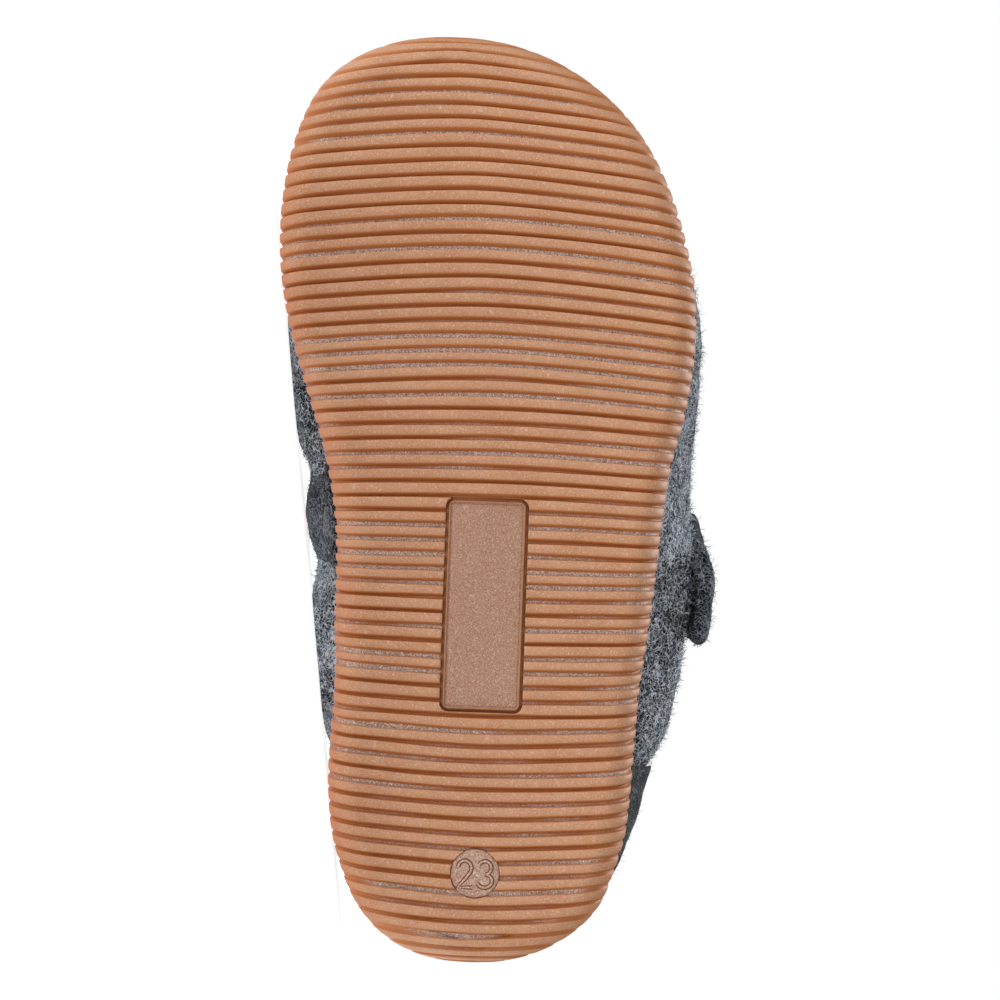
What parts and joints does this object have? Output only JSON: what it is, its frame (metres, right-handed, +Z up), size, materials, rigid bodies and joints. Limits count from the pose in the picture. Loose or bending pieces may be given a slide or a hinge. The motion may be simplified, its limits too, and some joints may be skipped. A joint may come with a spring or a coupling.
{
  "type": "felt slipper",
  "caption": "Child's left felt slipper lying on its inner side: ribbed rubber cup sole, hollow felt upper with strap and heel counter.",
  "frame": {"origin": "bottom centre of the part's box, on the floor that it lies on", "axes": "-X towards the toe, -Y the way the tread faces, +Z up through the outer side; the inner side lies on the floor"},
  "size_m": [0.163, 0.0674, 0.0754],
  "materials": {
    "sole_rubber": "satin moulded caramel rubber",
    "insole_felt": "matte pressed felt",
    "upper_felt": "matte boiled wool felt, grey melange",
    "counter_felt": "matte smooth felt, anthracite",
    "strap_felt": "matte boiled wool felt, dark grey melange"
  },
  "bodies": {
    "root": {"outsole": "sole_rubber", "insole": "insole_felt", "upper": "upper_felt", "heel_counter": "counter_felt", "strap": "strap_felt"}
  },
  "joints": []
}
